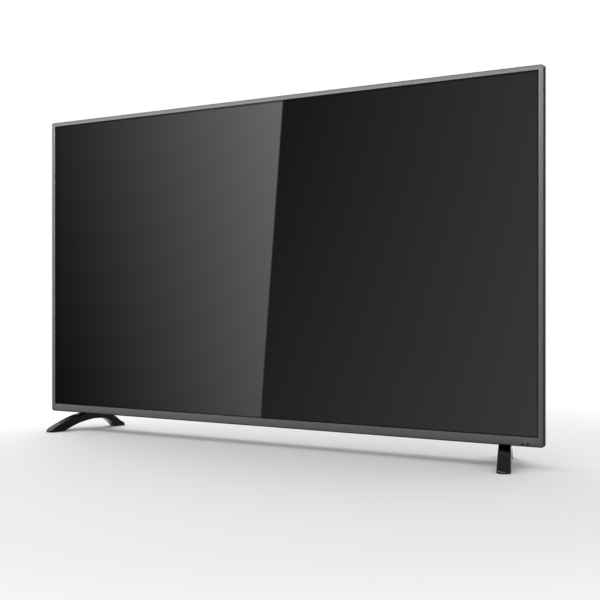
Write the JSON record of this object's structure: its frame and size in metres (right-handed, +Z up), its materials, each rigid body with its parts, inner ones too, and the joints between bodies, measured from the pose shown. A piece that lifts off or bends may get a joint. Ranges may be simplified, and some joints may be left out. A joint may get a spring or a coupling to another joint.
{
  "type": "flat screen television",
  "caption": "Slim flat television with a thin graphite bezel on two splayed arched feet, with its display, boards, loudspeakers, sockets and five-way key inside a rear cover.",
  "frame": {"origin": "on the floor, at the bottom centre of the bounding box, midway between the tips of the feet", "axes": "+X to the right seen from the front, +Y towards the rear, +Z up; the screen faces -Y"},
  "size_m": [1.2366, 0.208, 0.7564],
  "materials": {
    "graphite_paint": "satin graphite paint",
    "black_plastic": "matte black",
    "frame_plastic": "matte black",
    "black_steel": "fine textured black paint",
    "aluminium": "extruded",
    "board_white": "white solder mask",
    "led_package": "moulded",
    "board_green": "green solder mask",
    "board_tan": "phenolic board",
    "film_amber": "polyimide film",
    "cover_plastic": "fine moulded texture",
    "screw_steel": "blackened",
    "post_steel": "zinc plated",
    "bracket_steel": "zinc plated",
    "foot_gloss": "high gloss black",
    "pad_rubber": "matte",
    "nylon_white": "natural nylon",
    "chip_black": "moulded epoxy",
    "tin_plate": "tin plate",
    "nickel": "nickel plated",
    "socket_black": "moulded",
    "transformer_tape": "yellow tape over ferrite",
    "capacitor_sleeve": "shrink sleeve",
    "cone_paper": "coated paper",
    "dark_lens": "dark tinted",
    "key_plastic": "matte black",
    "ribbon_white": "flat cable",
    "lead_rubber": "sleeved leads",
    "screen_film": "hard coated polariser",
    "panel_glass": "thin glass",
    "optical_sheet": "translucent sheet",
    "light_guide": "clear acrylic",
    "reflector_white": "white sheet"
  },
  "bodies": {
    "television": {"aerial_socket": "nickel", "array_glass": "panel_glass", "back_plate": "black_steel", "board_posts": "nylon_white", "capacitors": "capacitor_sleeve", "colour_filter_glass": "panel_glass", "cover_screws": "screw_steel", "diffuser_sheet": "optical_sheet", "foot_brackets": "bracket_steel", "foot_left": "foot_gloss", "foot_pads": "pad_rubber", "foot_right": "foot_gloss", "foot_screws": "screw_steel", "front_bezel": "graphite_paint", "front_polariser": "screen_film", "hdmi_sockets": "nickel", "headphone_jack": "socket_black", "heat_spreader": "aluminium", "infrared_board": "board_green", "infrared_window": "dark_lens", "key_board": "board_green", "key_housing": "black_plastic", "led_bar": "board_white", "leds": "led_package", "light_guide_plate": "light_guide", "main_board": "board_green", "network_socket": "nickel", "optical_socket": "socket_black", "panel_frame": "frame_plastic", "power_board": "board_tan", "power_heatsinks": "aluminium", "power_inlet": "socket_black", "prism_sheet": "optical_sheet", "processor": "chip_black", "processor_heatsink": "aluminium", "rear_cover": "cover_plastic", "rear_polariser": "screen_film", "reflector_sheet": "reflector_white", "ribbon_cables": "ribbon_white", "side_frame": "black_plastic", "source_boards": "board_green", "source_films": "film_amber", "speaker_box_left": "frame_plastic", "speaker_box_right": "frame_plastic", "speaker_driver_left": "post_steel", "speaker_driver_right": "post_steel", "status_light": "dark_lens", "timing_board": "board_green", "transformers": "transformer_tape", "tuner_can": "tin_plate", "usb_sockets": "nickel", "wall_mount_posts": "post_steel", "wire_leads": "lead_rubber", "wireless_board": "board_green"},
    "speaker_cone_right": {"speaker_cone_right": "cone_paper"},
    "speaker_cone_left": {"speaker_cone_left": "cone_paper"},
    "optical_shutter": {"optical_shutter": "socket_black"},
    "key_ring": {"key_ring": "nylon_white"},
    "key_stem": {"key_stem": "nylon_white"},
    "key_cap": {"key_cap": "key_plastic"}
  },
  "joints": [
    {"name": "right_cone_slide", "type": "slide", "parent": "television", "child": "speaker_cone_right", "axis": [0, 0, 1], "range_m": [-0.001, 0.001], "stiffness_N_per_m": 2500},
    {"name": "left_cone_slide", "type": "slide", "parent": "television", "child": "speaker_cone_left", "axis": [0, 0, 1], "range_m": [-0.001, 0.001], "stiffness_N_per_m": 2500},
    {"name": "shutter_hinge", "type": "hinge", "parent": "television", "child": "optical_shutter", "pos_m": [0.315, -0.01175, 0.17155], "axis": [1, 0, 0], "range_deg": [0, 75], "stiffness_Nm_per_rad": 0.0005, "springref_deg": -17.19},
    {"name": "key_tilt_front_back", "type": "hinge", "parent": "television", "child": "key_ring", "pos_m": [0, 0.008, 0.0525], "axis": [1, 0, 0], "range_deg": [-5, 5], "stiffness_Nm_per_rad": 0.15},
    {"name": "key_tilt_side", "type": "hinge", "parent": "key_ring", "child": "key_stem", "pos_m": [0, 0.008, 0.0525], "axis": [0, 1, 0], "range_deg": [-5, 5], "stiffness_Nm_per_rad": 0.15},
    {"name": "key_press", "type": "slide", "parent": "key_stem", "child": "key_cap", "axis": [0, 0, 1], "range_m": [0, 0.0008], "stiffness_N_per_m": 2500}
  ]
}
